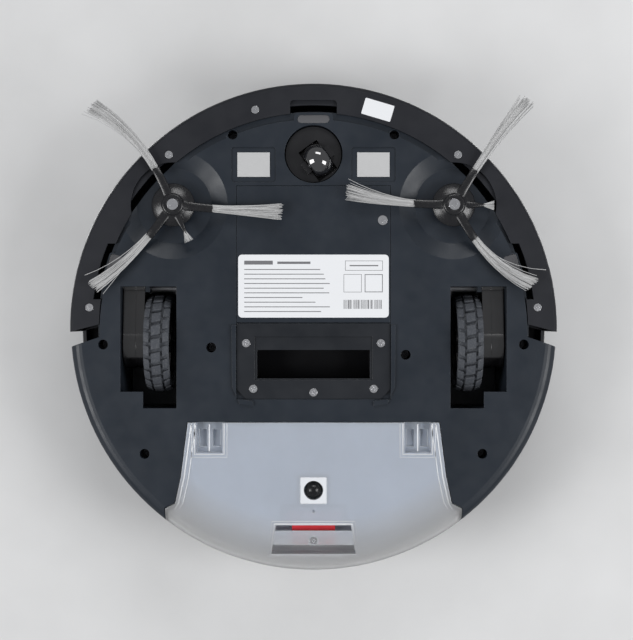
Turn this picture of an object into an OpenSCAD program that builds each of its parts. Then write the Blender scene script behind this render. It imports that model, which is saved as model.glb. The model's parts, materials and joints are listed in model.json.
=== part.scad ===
// Round robot vacuum cleaner, standing on its wheels.
// Z = 0 is the floor, the body's axis is X = Y = 0, the bumper faces -Y and the dust bin faces +Y.

/* [Body] */
// Diameter of the round body
body_d = 325; // [320:1:400]
// Height from the floor to the top panel
body_h = 80; // [78:1:96]
// Gap between the floor and the flat underside
ground_gap = 10; // [9:0.5:11]
// Wall thickness of the outer shells
wall = 2.5; // [2:0.1:3]
// Radius of the rounded lower edge
edge_round = 8; // [6:0.5:9]

/* [Bumper] */
// Travel of the bumper when it is pushed in
bumper_travel = 4; // [2:0.5:4.5]
// Width of the flat lip under the bumper
lip_w = 20; // [18:0.5:22]
// Thickness of the lip
lip_t = 2.2; // [1.8:0.1:2.4]

/* [Drive wheels] */
// Diameter of a drive wheel over its tread
wheel_d = 66; // [60:1:67]
// Width of the tyre
tyre_w = 17; // [14:0.5:17.5]
// Distance from the body's axis to the middle of a tyre
wheel_x = 104; // [103.5:0.5:105]
// Distance of the wheel axle behind the body's axis
wheel_y = 11; // [9:0.5:12]
// Diameter of a wheel axle
axle_d = 6; // [4:0.5:8]
// Number of tread blocks around a tyre
tread_count = 24; // [16:2:30]

/* [Caster] */
// Diameter of the caster wheel
caster_d = 22; // [18:0.5:23]
// Width of the caster wheel
caster_w = 14; // [10:0.5:15]
// Distance of the caster pivot ahead of the body's axis
caster_y = 115; // [113:0.5:116]
// Offset of the caster wheel behind its pivot
caster_trail = 5; // [3:0.5:6]
// Direction that the caster trails in, from +X
caster_angle = 54; // [0:1:359]

/* [Side brushes] */
// Sideways distance of a brush hub from the body's axis
brush_x = 93; // [92:0.5:95]
// Forward distance of a brush hub from the body's axis
brush_y = 81; // [80:0.5:82]
// Reach of a bristle tuft from the hub
brush_reach = 85; // [70:1:86]
// Radius of the scooped bowl around a brush
bowl_r = 36; // [32:0.5:37]

/* [Battery and inlet] */
// Width of the battery cover and of the inlet frame
panel_w = 102; // [98:0.5:103]
// Length of the battery cover
battery_cover_l = 90.5; // [88:0.5:91]
// Width of the suction mouth
mouth_w = 75; // [60:1:76]
// Length of the suction mouth
mouth_l = 19; // [15:0.5:20]

/* [Dust bin] */
// Distance of the dust bin's front wall behind the body's axis
bin_y = 63.5; // [63:0.5:66]
// Width of the dust bin at its front wall
bin_w = 167; // [150:1:169]
// Wall thickness of the dust bin
bin_wall = 2; // [1.6:0.1:2.4]

/* [Fits] */
// Gap around parts that lift or slide out
slide_gap = 0.5; // [0.4:0.05:0.7]
// Radial clearance of a shaft that turns in a bore
run_gap = 0.05; // [0.02:0.01:0.1]

/* [Hidden] */
$fn = 96;
eps = 0.01;
body_r = body_d / 2;
floor_top = ground_gap + wall;
split_z = body_h - 18;
cover_under = body_h - wall;
sides = [["left", -1], ["right", 1]];

// Bumper and the front of the lower shell
lip_in_r = body_r - lip_w;
lip_top = ground_gap + lip_t;
bumper_in_r = body_r - wall;
front_r = lip_in_r + 0.8;
flange_in_r = front_r + bumper_travel + slide_gap;
flush_r = lip_in_r - 0.4;
flush_shift = bumper_travel + 0.2;
raised_z = lip_top + 0.4;
rail_z = split_z - 8;
rail_r = flange_in_r + 3.2;
rail_t = 2.5;
bumper_top = split_z - 0.8;
lip_screw_r = body_r - 13;
lip_screw_angles = [-85, -40, -15, 15, 40, 85];
lip_bay_r = 28.5;
sensor_bay_r = lip_in_r + 5;

// Rear edge of the bumper and front edge of the rear shell
shell_corner_y = 13.4;
shell_inner_y = 3.2;
shell_inner_x = 132;
bumper_end_y = 3.2;
bumper_end_in_y = -1.8;

// Drive modules, given for the right side
wheel_r = wheel_d / 2;
axle_r = axle_d / 2;
axle_z = wheel_r;
pivot_y = wheel_y - 38;
pivot_z = 26;
pivot_r = 2;
gear_in_x = wheel_x + tyre_w / 2 + 0.8;
gear_split_x = gear_in_x + 5.9;
gear_out_x = gear_in_x + 14.2;
gear_case_r = 17;
motor_y = pivot_y;
motor_z = pivot_z + 31;
motor_r = 9;
motor_x = 84;
well_in_x = 91;
well_out_x = gear_out_x + 0.8;
well_front_y = -27;
well_rear_y = 43;
box_in_x = motor_x - 3;
box_front_y = -38;
box_rear_y = 55;
box_roof_z = 69;
seat_y = wheel_y + 3;
seat_z = axle_z + gear_case_r + 2;

// Caster
caster_r = caster_d / 2;
caster_base_r = 18.6;
caster_well_r = caster_base_r + 0.7;
caster_base_top = caster_d + 3;
caster_stem_r = 5;
caster_stem_top = caster_base_top + 11;
caster_axle_r = 1.5;

// Side brushes
bowl_depth = 6;
bowl_top_r = 25;
brush_stem_r = 4;
brush_stem_top = ground_gap + 16;
arm_z = 4.6;
arm_t = 3;
bristle_z = 1.4;
bristle_root = 26;
spoke_r = 21;

// The two brushes stand at different angles, and each tuft has taken its own bend and wear
function brush_phase(s) = s > 0 ? -59 : 6;
function tuft_bend(s) = s > 0 ? [1, -14, 11] : [-5, 9, -21];
function tuft_reach(s) = s > 0 ? [1, 0.88, 0.85] : [0.86, 0.9, 1];

// Battery bay
battery_cover_front = -3.2 - battery_cover_l;
battery_cover_rear = -3.2;
cover_t = 2;
bay_top = 40;
battery_screw = [46, -71];

// Inlet, duct and fan
inlet_front = -2.6;
inlet_rear = 47.7;
mouth_y = 24.7;
duct_top = 36;
duct_wall = 2;
fan_y = 18;
fan_r = 33;
plenum_z = 38;
plenum_top = 46;
plenum_front = battery_cover_rear + 2;
volute_top = plenum_top + 18;
inlet_screw_points = [[-44.8, 10.7], [44.8, 10.7], [-40, 41], [0, 43.4], [40, 41]];

// Shell screws, deep in their bosses
shell_screw_points = [
    [-53.8, -127.9], [53.8, -127.9], [-139.8, 11.6], [139.8, 11.6],
    [-68, 13.6], [61.3, 18.4], [-112.2, 84.2], [112.2, 84.2]
];
screw_hole_r = 3.3;
screw_boss_r = 4.3;
screw_head_z = 30;
screw_shank_r = 1.5;

// Dust bin
bin_top = split_z - 24;
lid_top = split_z - 2.8;
bin_roof = lid_top + slide_gap;
pocket_x = 69.2;
pocket_w = 17.5;
pocket_l = 19;
pocket_top = ground_gap + 6;
socket_y = 108.6;
socket_w = 17.6;
socket_top = ground_gap + 12.5;
latch_y = 131.7;
latch_l = 19;
latch_top = ground_gap + 14;
latch_cell_y = 119.8;
guard_y = latch_y + 3.7;
guard_l = 9.4;
bin_screw_y = 141.9;
bin_boss_r = 3.2;
bin_shank_r = 1.2;

// Sensors and buttons
front_sensor = [0, -138.2];
side_sensor_r = 138.5;
side_sensor_angle = 17.3;
contact_x = 39.8;
contact_y = -107.9;
contact_size = [21.5, 16.2];
button_r = 7;
button_x = 14;
button_y = -104;
panel_r = 130;
panel_t = 1.5;

// ---- Shared shapes ----

// Outline of a disc's section with a rounded lower outer edge
function edge_points(r, z0, z1, e) = concat(
    [[0, z0]],
    [for (i = [0:6]) [r - e + e * sin(i * 15), z0 + e - e * cos(i * 15)]],
    [[r, z1], [0, z1]]
);

module round_edged(r, z0, z1, e) {
    rotate_extrude() polygon(edge_points(r, z0, z1, e));
}

// A vertical block from z0 to z1 over a flat outline
module rise(z0, z1) {
    translate([0, 0, z0]) linear_extrude(height = z1 - z0) children();
}

module tube(r_out, r_in, z0, z1) {
    rise(z0, z1) difference() {
        circle(r = r_out);
        circle(r = r_in);
    }
}

module post(x, y, r, z0, z1) {
    translate([x, y, z0]) cylinder(r = r, h = z1 - z0);
}

module block(x0, x1, y0, y1, z0, z1) {
    translate([x0, y0, z0]) cube([x1 - x0, y1 - y0, z1 - z0]);
}

// A cylinder along X at a given Y and Z
module rod_x(x0, x1, y, z, r) {
    translate([x0, y, z]) rotate([0, 90, 0]) cylinder(r = r, h = x1 - x0);
}

// A rectangle with rounded corners, centred
module round_rect(w, l, r) {
    square([w - 2 * r, l], center = true);
    square([w, l - 2 * r], center = true);
    for (x = [-1, 1], y = [-1, 1])
        translate([x * (w / 2 - r), y * (l / 2 - r)]) circle(r = r, $fn = 32);
}

// A coil spring along Z, swept as one closed surface
module coil(r, wire, length, turns, steps = 16, ring = 6) {
    n = turns * steps;
    points = [for (i = [0:n], k = [0:ring - 1])
        let (a = 360 * i / steps, b = 360 * k / ring, q = r + wire * cos(b))
        [q * cos(a), q * sin(a), wire + (length - 2 * wire) * i / n + wire * sin(b)]];
    bands = [for (i = [0:n - 1], k = [0:ring - 1])
        let (j = (k + 1) % ring)
        [i * ring + k, i * ring + j, (i + 1) * ring + j, (i + 1) * ring + k]];
    ends = [[for (k = [ring - 1:-1:0]) k], [for (k = [0:ring - 1]) n * ring + k]];
    polyhedron(points = points, faces = concat(bands, ends), convexity = 6);
}

// A countersunk cross-head screw with its head's face at z0, pointing up
module screw(head_r, head_t, shank_r, length, z0) {
    difference() {
        union() {
            translate([0, 0, z0]) cylinder(r = head_r, h = head_t);
            translate([0, 0, z0 + head_t]) cylinder(r = shank_r, h = length);
        }
        for (a = [0, 90]) rotate([0, 0, a])
            translate([-head_r * 0.55, -head_r * 0.13, z0 - eps]) cube([head_r * 1.1, head_r * 0.26, head_t * 0.6]);
    }
}

// Everything behind the slanted front edge of the rear shell
module rear_region(shift = 0) {
    slope = (shell_corner_y - shell_inner_y) / (body_r - shell_inner_x);
    far = 2 * body_r;
    far_y = shell_inner_y + slope * (far - shell_inner_x);
    translate([0, shift]) polygon([
        [0, shell_inner_y], [shell_inner_x, shell_inner_y], [far, far_y],
        [far, far], [-far, far], [-far, far_y], [-shell_inner_x, shell_inner_y]
    ]);
}

// Everything in front of the slanted ends of the bumper
module front_region(shift = 0) {
    slope = (bumper_end_y - bumper_end_in_y) / (body_r - lip_in_r);
    far = 2 * body_r;
    far_y = bumper_end_in_y + slope * (far - lip_in_r);
    translate([0, shift]) polygon([
        [0, bumper_end_in_y], [lip_in_r, bumper_end_in_y], [far, far_y],
        [far, -far], [-far, -far], [-far, far_y], [-lip_in_r, bumper_end_in_y]
    ]);
}

// Outline of the dust bin, grown outward by g
module bin_outline(g = 0) {
    half = bin_w / 2 + g;
    y0 = bin_y - g;
    polygon([
        [-half, y0], [half, y0], [half + 4.6, 99.6], [half + 8.4, 117.4 - g], [half + 15, 120.6 - g],
        [half + 15, 2 * body_r], [-half - 15, 2 * body_r],
        [-half - 15, 120.6 - g], [-half - 8.4, 117.4 - g], [-half - 4.6, 99.6]
    ]);
}

// ---- Lower shell and its covers ----

module shell_solid() {
    intersection() {
        round_edged(body_r, ground_gap, split_z, edge_round);
        rise(0, split_z) rear_region();
    }
    front_core();
    sensor_bezels();
}

// The front half of the shell, set back at its foot so that the bumper's lip can travel
module front_core() {
    translate([0, 0, raised_z]) cylinder(r = front_r, h = split_z - raised_z);
    translate([0, flush_shift, ground_gap]) cylinder(r = flush_r, h = raised_z + 1 - ground_gap);
}

module shell_hollow() {
    intersection() {
        round_edged(body_r - wall, floor_top, split_z + 1, edge_round - wall);
        rise(0, split_z + 1) rear_region(wall);
    }
    translate([0, 0, raised_z + wall]) cylinder(r = front_r - wall, h = split_z);
    translate([0, flush_shift, floor_top]) cylinder(r = flush_r - wall - 2, h = split_z);
}

// Raised blocks that hold the three cliff sensor windows
module sensor_bezels() {
    translate([front_sensor[0], front_sensor[1] + 1]) rise(ground_gap, raised_z + wall) round_rect(26, 10.5, 3);
    for (s = [-1, 1]) side_sensor_place(s) rise(ground_gap, raised_z + wall) round_rect(10.4, 15.4, 2);
}

module side_sensor_place(s) {
    rotate([0, 0, s > 0 ? -side_sensor_angle : 180 + side_sensor_angle])
        translate([side_sensor_r, 0]) children();
}

module place_brush(s) {
    translate([s * brush_x, -brush_y]) children();
}

module place_caster() {
    translate([0, -caster_y]) children();
}

// Closed boxes and bosses that rise from the shell's floor
module shell_rooms() {
    for (s = [-1, 1]) {
        x0 = s > 0 ? box_in_x - 2 : -well_out_x - wall;
        block(x0, x0 + well_out_x + wall - box_in_x + 2, box_front_y - 2, box_rear_y + 2,
            ground_gap, box_roof_z + 2);
        intersection() {
            place_brush(s) translate([0, 0, ground_gap])
                cylinder(r1 = bowl_r + 2.5, r2 = bowl_top_r + 2.5, h = bowl_depth + wall);
            front_core();
        }
    }
    place_caster() {
        post(0, 0, caster_well_r + 2, ground_gap, caster_base_top + 3);
        post(0, 0, caster_stem_r + 3, ground_gap, caster_stem_top + 2);
    }
    block(-panel_w / 2 - 1.5, panel_w / 2 + 1.5, battery_cover_front - 1.5, battery_cover_rear + 1.5,
        ground_gap, bay_top + 2);
    for (x = [-40, 40], y = [-80, -26]) post(x, y, 3, bay_top, bay_top + 6);
    intersection() {
        round_edged(body_r, ground_gap, split_z, edge_round);
        rise(ground_gap, split_z) bin_outline(3);
    }
    for (p = shell_screw_points) post(p[0], p[1], screw_boss_r, lip_top + 0.2, cover_under);
    block(-panel_w / 2 - 2, panel_w / 2 + 2, inlet_front, inlet_rear + 2, ground_gap, floor_top + 2);
    inlet_ribs();
}

// Raised ribs on both sides of the suction inlet
module inlet_ribs() {
    half = panel_w / 2;
    for (s = [-1, 1]) rise(ground_gap - 1.5, floor_top) polygon([
        [s * (half + 3.4), -1.4], [s * (half + 0.4), -1.4], [s * (half + 0.4), inlet_rear - 9],
        [s * (half - 4), inlet_rear + 0.4], [s * (half - 11), inlet_rear + 1.4],
        [s * (half - 11), inlet_rear + 4.6], [s * (half - 2), inlet_rear + 3.4], [s * (half + 3), inlet_rear - 8]
    ]);
}

// What the boxes hold, cut from below
module shell_cuts() {
    for (s = [-1, 1]) {
        m = s > 0 ? 0 : 1;
        mirror([m, 0, 0]) {
            block(well_in_x, well_out_x, well_front_y, well_rear_y, 0, floor_top + 1);
            block(well_in_x, gear_in_x, well_rear_y - 1, well_rear_y + 11, 0, floor_top + 1);
            difference() {
                block(box_in_x, well_out_x, box_front_y, box_rear_y, floor_top, box_roof_z);
                block(gear_in_x - 3.3, gear_in_x - 0.4, box_front_y - 1, pivot_y + 3.5, pivot_z - 6, pivot_z + 6);
            }
            rod_x(gear_in_x - 6, well_out_x + wall + 1, pivot_y, pivot_z, pivot_r);
        }
        place_brush(s) {
            translate([0, 0, ground_gap - eps])
                cylinder(r1 = bowl_r, r2 = bowl_top_r, h = bowl_depth);
            post(0, 0, brush_stem_r + 3, ground_gap, ground_gap + 14);
        }
    }
    place_caster() {
        post(0, 0, caster_well_r, 0, caster_base_top + 0.6);
        post(0, 0, caster_stem_r + run_gap, 0, caster_stem_top + 0.4);
    }
    block(-panel_w / 2 - 0.3, panel_w / 2 + 0.3, battery_cover_front - 0.3, battery_cover_rear + 0.3,
        0, ground_gap + cover_t);
    difference() {
        block(-panel_w / 2 + 3, panel_w / 2 - 3, battery_cover_front + 3, battery_cover_rear - 5,
            ground_gap, bay_top);
        post(battery_screw[0], battery_screw[1], 4, ground_gap + cover_t, bay_top);
    }
    post(battery_screw[0], battery_screw[1], screw_shank_r, ground_gap, ground_gap + 8);
    block(-panel_w / 2 - 0.3, panel_w / 2 + 0.3, inlet_front, inlet_rear + 0.3, 0, ground_gap + 2);
    block(-mouth_w / 2 - 3, mouth_w / 2 + 3, mouth_y - mouth_l / 2 - 3, mouth_y + mouth_l / 2 + 3,
        0, floor_top + 3);
    for (p = inlet_screw_points) post(p[0], p[1], screw_shank_r, ground_gap, floor_top + 3);
    rise(0, bin_roof) bin_outline(slide_gap);
    block(-30, 30, bin_y - 6, bin_y + 1, 16, 34);
    block(-35, 35, bin_y - 6, bin_y + 1, bin_top + 3, bin_top + 17);
    for (p = shell_screw_points) {
        post(p[0], p[1], screw_hole_r, 0, screw_head_z);
        post(p[0], p[1], screw_shank_r, 0, split_z);
    }
    translate(front_sensor) rise(0, ground_gap + 2) round_rect(21.4, 5.4, 2.6);
    for (s = [-1, 1]) {
        side_sensor_place(s) rise(0, ground_gap + 2) round_rect(9, 13.7, 2);
        translate([s * contact_x, contact_y]) {
            rise(0, ground_gap + 0.8) round_rect(contact_size[0] + 8, contact_size[1] + 7, 2);
            rise(0, floor_top + 1) square(contact_size, center = true);
        }
        grille_window(s, 0);
    }
}

module grille_window(s, gap) {
    rotate([0, 0, s > 0 ? 40 : 140])
        block(body_r - 8, body_r + 4, -21 + gap, 21 - gap, 26 + gap, 50 - gap);
}

module bottom_shell() {
    color("#2d3038") difference() {
        union() {
            difference() {
                shell_solid();
                shell_hollow();
            }
            shell_rooms();
            rise(rail_z, rail_z + rail_t) intersection() {
                difference() {
                    circle(r = rail_r);
                    circle(r = front_r - 1);
                }
                front_region(-6);
            }
        }
        shell_cuts();
    }
}

module exhaust_grilles() {
    color("#23252b") for (s = [-1, 1]) difference() {
        intersection() {
            tube(body_r - 0.3, body_r - wall, 20, 60);
            grille_window(s, 0);
        }
        rotate([0, 0, s > 0 ? 40 : 140]) for (y = [-18:4:18])
            block(body_r - 10, body_r + 5, y - 0.8, y + 0.8, 28.5, 47.5);
    }
}

module shell_screws() {
    color("#8a8c90") for (p = shell_screw_points)
        translate([p[0], p[1], 0]) screw(screw_hole_r - 0.2, 2.2, screw_shank_r, split_z - screw_head_z - 1, screw_head_z - 2.2);
}

module cliff_sensor_windows() {
    color("#9aa0a8", 0.5) {
        translate(front_sensor) rise(ground_gap + 0.3, ground_gap + 2) round_rect(21.4, 5.4, 2.6);
        for (s = [-1, 1]) side_sensor_place(s) rise(ground_gap + 0.3, ground_gap + 2) round_rect(9, 13.7, 2);
    }
}

module charging_contacts() {
    color("#b9bbbf") for (s = [-1, 1]) translate([s * contact_x, contact_y])
        rise(ground_gap + 0.2, floor_top + 1) square(contact_size, center = true);
}

module battery_cover() {
    color("#2f323a") difference() {
        block(-panel_w / 2, panel_w / 2, battery_cover_front, battery_cover_rear, ground_gap, ground_gap + cover_t);
        post(battery_screw[0], battery_screw[1], screw_shank_r, 0, ground_gap + 5);
        post(battery_screw[0], battery_screw[1], 3.4, 0, ground_gap + 1);
    }
}

module rating_label() {
    color("#e4e6e6") translate([0, -27.2]) rise(ground_gap - 0.25, ground_gap) round_rect(100, 41.8, 2.6);
}

module battery_pack() {
    color("#3a5a7c") difference() {
        block(-46, 41, battery_cover_front + 5, battery_cover_rear - 7, ground_gap + cover_t, bay_top - 2);
        block(20, 42, battery_cover_front + 4, battery_cover_front + 9, bay_top - 8, bay_top);
    }
}

module main_board() {
    color("#2c6b44") {
        block(-46, 46, -86, -20, bay_top + 6, bay_top + 7.6);
        block(-30, -12, -70, -52, bay_top + 7.6, bay_top + 9.2);
        block(4, 16, -44, -32, bay_top + 7.6, bay_top + 9.2);
        for (x = [-38, -26, 26, 38]) block(x - 5, x + 5, -30, -23, bay_top + 7.6, bay_top + 14);
        for (y = [-76, -62]) post(34, y, 5, bay_top + 7.6, bay_top + 18);
    }
}

module arm_pins() {
    color("#9a9ca0") for (m = [0, 1]) mirror([m, 0, 0])
        rod_x(gear_in_x - 3.3, well_out_x + wall, pivot_y, pivot_z, pivot_r);
}

// ---- Suction inlet, duct and fan ----

module inlet_frame() {
    z = ground_gap;
    color("#26282e") difference() {
        union() {
            block(-panel_w / 2, panel_w / 2, inlet_front + 0.3, inlet_rear, z, z + 2);
            block(-mouth_w / 2 - 2.8, mouth_w / 2 + 2.8, mouth_y - mouth_l / 2 - 2.8, mouth_y + mouth_l / 2 + 2.8,
                z, floor_top + 1);
        }
        block(-mouth_w / 2, mouth_w / 2, mouth_y - mouth_l / 2, mouth_y + mouth_l / 2, z - 1, floor_top + 4);
        block(-mouth_w / 2 - 1.6, mouth_w / 2 + 1.6, mouth_y - mouth_l / 2 - 9, mouth_y + mouth_l / 2 + 1,
            z - 1, z + 0.9);
        for (p = inlet_screw_points) {
            post(p[0], p[1], screw_shank_r, z - 1, z + 5);
            post(p[0], p[1], 3, z - 1, z + 0.9);
        }
        for (s = [-1, 1]) translate([s * panel_w / 2, inlet_rear]) rotate([0, 0, 45])
            cube([9, 9, 80], center = true);
    }
}

module underside_screws() {
    color("#b4b6ba") {
        for (p = inlet_screw_points)
            translate([p[0], p[1], 0]) screw(2.7, 0.9, screw_shank_r, 3, ground_gap);
        translate([battery_screw[0], battery_screw[1], 0]) screw(3.2, 1, screw_shank_r, 6, ground_gap);
    }
}

module air_duct() {
    x = mouth_w / 2 + duct_wall;
    y0 = mouth_y - mouth_l / 2 - duct_wall;
    y1 = bin_y - 3;
    z0 = floor_top + 2;
    color("#34363c") difference() {
        union() {
            block(-x, x, y0, y1, z0, duct_top);
            block(-x - 4, x + 4, y0 - 4, mouth_y + mouth_l / 2 + 4, z0, z0 + 2);
        }
        block(-x + duct_wall, x - duct_wall, y0 + duct_wall, mouth_y + mouth_l / 2, z0 - 1, duct_top - duct_wall);
        block(-30, 30, y0 + duct_wall, y1 + 1, z0 + duct_wall, duct_top - duct_wall);
        for (p = inlet_screw_points) post(p[0], p[1], screw_shank_r + 0.6, z0 - 1, z0 + 5);
    }
}

module fan_housing() {
    y1 = bin_y - 3;
    color("#3a3c42") difference() {
        union() {
            block(-38, 38, plenum_front, y1, plenum_z, plenum_top);
            block(-38, 38, fan_y + fan_r + 1, y1, plenum_z, bin_top + 19);
            post(0, fan_y, fan_r, plenum_top - 1, volute_top);
            block(-fan_r - 16, 0, fan_y + 8, fan_y + fan_r - 1, plenum_top + 1, volute_top);
        }
        block(-36, 36, plenum_front + 2, y1 - 6, plenum_z + 2, plenum_top - 2);
        block(-36, 36, fan_y + fan_r + 3, y1 + 1, plenum_z + 2, bin_top + 17);
        block(-36, 36, fan_y, fan_y + fan_r + 5, plenum_z + 2, plenum_top - 2);
        post(0, fan_y, 14, plenum_top - 3, plenum_top + 3);
        post(0, fan_y, fan_r - 2, plenum_top, volute_top - 2);
        block(-fan_r - 17, 0, fan_y + 10, fan_y + fan_r - 3, plenum_top + 3, volute_top - 2);
        post(0, fan_y, 8, volute_top - 3, volute_top + 1);
    }
}

module fan_motor() {
    color("#a2a4a8") difference() {
        union() {
            post(0, fan_y, 17, volute_top, volute_top + 11);
            post(0, fan_y, 5, volute_top + 11, volute_top + 12.5);
        }
        post(0, fan_y, 1.5 + run_gap, volute_top - 1, volute_top + 9);
    }
}

module fan_impeller() {
    z = plenum_top + 2.5;
    color("#c8cacc") translate([0, fan_y, 0]) {
        post(0, 0, 28, z + 9.5, z + 11);
        post(0, 0, 6, z + 3, z + 11);
        post(0, 0, 1.5, z + 3, volute_top + 8);
        for (i = [0:8]) rotate([0, 0, i * 40]) translate([5, 0, z]) rotate([0, 0, 24])
            cube([20, 1.4, 10]);
    }
}

// ---- Top ----

module cover_profile(r, z0, z1, e) {
    rotate_extrude() polygon(concat(
        [[0, z0], [r, z0]],
        [for (i = [0:6]) [r - e + e * cos(i * 15), z1 - e + e * sin(i * 15)]],
        [[0, z1]]
    ));
}

module top_cover() {
    color("#24262c") difference() {
        cover_profile(body_r, split_z, body_h, 6);
        cover_profile(body_r - wall, split_z - 1, cover_under, 6 - wall);
        translate([0, 0, body_h - panel_t]) cylinder(r = panel_r, h = 5);
        for (s = [-1, 1]) post(s * button_x, button_y, button_r + 0.3, cover_under - 1, body_h + 1);
    }
}

module top_panel() {
    color("#15161a") difference() {
        translate([0, 0, body_h - panel_t]) cylinder(r = panel_r - 0.3, h = panel_t);
        for (s = [-1, 1]) post(s * button_x, button_y, button_r + 0.3, cover_under - 1, body_h + 1);
    }
}

module button(x) {
    color("#c4c7cc") {
        post(x, button_y, button_r, cover_under - 2, body_h);
        post(x, button_y, button_r + 2, cover_under - 2, cover_under - 0.3);
    }
}

module power_button() {
    button(button_x);
}

module home_button() {
    button(-button_x);
}

// ---- Bumper ----

module bumper() {
    color("#1d1e22") difference() {
        union() {
            difference() {
                round_edged(body_r, ground_gap, bumper_top, 5);
                round_edged(bumper_in_r, -1, bumper_top + 1, 1);
            }
            tube(bumper_in_r + 0.5, flange_in_r, lip_top, lip_top + 2.4);
            tube(bumper_in_r + 0.5, flange_in_r + 1, rail_z + rail_t + 0.5, rail_z + rail_t + 3);
        }
        difference() {
            tube(body_r + 1, 1, 0, body_h);
            rise(-1, body_h + 1) front_region();
        }
        for (a = lip_screw_angles) rotate([0, 0, a]) post(0, -lip_screw_r, screw_shank_r, 0, lip_top + 5);
        bumper_window_space();
        rise(0, lip_top) circle(r = bumper_in_r);
    }
}

module bumper_window_space() {
    intersection() {
        tube(body_r + 1, bumper_in_r - 1, 27, 47);
        rise(20, 60) polygon([[0, 0], [-60, -2 * body_r], [60, -2 * body_r]]);
    }
}

module bumper_window() {
    color("#18101c") intersection() {
        tube(body_r, bumper_in_r, 27, 47);
        bumper_window_space();
    }
}

module lip_outline() {
    difference() {
        circle(r = bumper_in_r);
        circle(r = lip_in_r);
        for (s = [-1, 1]) {
            place_brush(s) circle(r = lip_bay_r);
            intersection() {
                circle(r = sensor_bay_r);
                translate([s * 145, -37]) square([40, 37], center = true);
            }
        }
        translate([0, 2.8 - body_r + lip_w - 6]) round_rect(31, 10, 2);
    }
}

module bumper_lip() {
    color("#1b1c20") difference() {
        rise(ground_gap, lip_top) intersection() {
            lip_outline();
            front_region();
        }
        for (a = lip_screw_angles) rotate([0, 0, a]) {
            post(0, -lip_screw_r, screw_shank_r, 0, lip_top + 1);
            post(0, -lip_screw_r, 2.9, 0, ground_gap + 1);
        }
    }
}

module bumper_screws() {
    color("#b4b6ba") for (a = lip_screw_angles) rotate([0, 0, a])
        translate([0, -lip_screw_r, 0]) screw(2.6, 0.9, screw_shank_r, lip_t + 1.4, ground_gap + 0.1);
}

module bumper_label() {
    color("#eceded") rotate([0, 0, 16.5]) translate([0, -body_r + 12])
        rise(ground_gap - 0.25, ground_gap) round_rect(20, 11, 0.8);
}

module bumper_springs() {
    x = 50;
    coil_r = 3.5;
    y0 = -sqrt(pow(front_r, 2) - pow(x - coil_r, 2)) - 0.5;
    y1 = -sqrt(pow(bumper_in_r, 2) - pow(x + coil_r, 2)) + 0.6;
    color("#c8cace") for (s = [-1, 1]) translate([s * x, y0, 38]) rotate([90, 0, 0])
        coil(3, 0.5, y0 - y1, 6);
}

module bumper_switches() {
    color("#2a2c30") for (a = [-42, 42]) rotate([0, 0, a]) {
        block(-7, 7, -front_r - 6, -front_r - 0.1, 33, 43);
        block(-2, 2, -front_r - 8.6, -front_r - 5, 36, 40);
    }
}

// ---- Caster ----

module place_caster_wheel() {
    place_caster() rotate([0, 0, caster_angle]) translate([caster_trail, 0, caster_r]) children();
}

module caster_fork() {
    color("#24262b") difference() {
        place_caster() {
            post(0, 0, caster_base_r, ground_gap + 3, caster_base_top);
            post(0, 0, caster_stem_r, caster_base_top - 1, caster_stem_top);
            rotate([0, 0, caster_angle]) for (s = [-1, 1])
                translate([caster_trail, s * (caster_w / 2 + 2.1), 0])
                    block(-4, 4, -1.6, 1.6, caster_r - 4, ground_gap + 4);
        }
        place_caster_wheel() {
            cube([caster_d + 1.6, caster_w + 1, caster_d + 1.6], center = true);
            rotate([90, 0, 0]) cylinder(r = caster_axle_r, h = caster_w + 7.4, center = true);
        }
    }
}

module caster_wheel() {
    crown = 3;
    color("#17181b") place_caster_wheel() rotate([90, 0, 0]) rotate_extrude() polygon(concat(
        [[caster_axle_r + run_gap, -caster_w / 2]],
        [for (i = [-4:4]) let (t = i / 4) [caster_r - crown * t * t, caster_w / 2 * t]],
        [[caster_axle_r + run_gap, caster_w / 2]]
    ));
}

module caster_axle() {
    color("#b0b2b6") place_caster_wheel() rotate([90, 0, 0])
        cylinder(r = caster_axle_r, h = caster_w + 7.4, center = true);
}

// ---- Side brushes ----

module brush(s) {
    z = arm_z;
    color("#26282d") difference() {
        place_brush(s) {
            rise(z, z + arm_t) {
                circle(r = 14.5);
                for (i = [0:2]) rotate(i * 120 + brush_phase(s))
                    polygon([[0, -5.6], [bristle_root + 1, -3], [bristle_root + 1, 3], [0, 5.6]]);
                rotate(60 + brush_phase(s)) polygon([[0, -5.4], [spoke_r, -1.2], [spoke_r, 1.2], [0, 5.4]]);
            }
            post(0, 0, 11, z + 1, z + 5);
            post(0, 0, brush_stem_r, z + 4, brush_stem_top);
            post(0, 0, 6.6, z - 1.2, z + 1);
        }
        place_brush(s) {
            post(0, 0, 3.9, 0, z - 0.2);
            post(0, 0, screw_shank_r, 0, z + 10);
        }
    }
}

// Outline of a tuft that leaves the arm straight, bends sideways by an angle and widens to its tip
function tuft_side(reach, bend, side) = [for (i = [0:4])
    let (t = i / 4, r = bristle_root - 2 + t * (reach - bristle_root + 2))
    [r * cos(bend * t), r * sin(bend * t) + side * (2.4 + 3.4 * t)]];

module tuft(reach, bend) {
    far_side = tuft_side(reach, bend, 1);
    polygon(concat(tuft_side(reach, bend, -1), [for (i = [4:-1:0]) far_side[i]]));
}

module bristles(s) {
    color("#b9bcc0") place_brush(s) {
        for (i = [0:2]) rotate([0, 0, i * 120 + brush_phase(s)]) {
            rise(bristle_z, bristle_z + 2.2) tuft(tuft_reach(s)[i] * brush_reach, tuft_bend(s)[i]);
            rise(bristle_z + 1, arm_z) translate([bristle_root - 2, -2]) square([3, 4]);
        }
        rotate([0, 0, 60 + brush_phase(s)])
            rise(arm_z + 0.5, arm_z + 2) polygon([[spoke_r, -1], [spoke_r + 6, -2.4], [spoke_r + 6, 2.4], [spoke_r, 1]]);
    }
}

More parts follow.
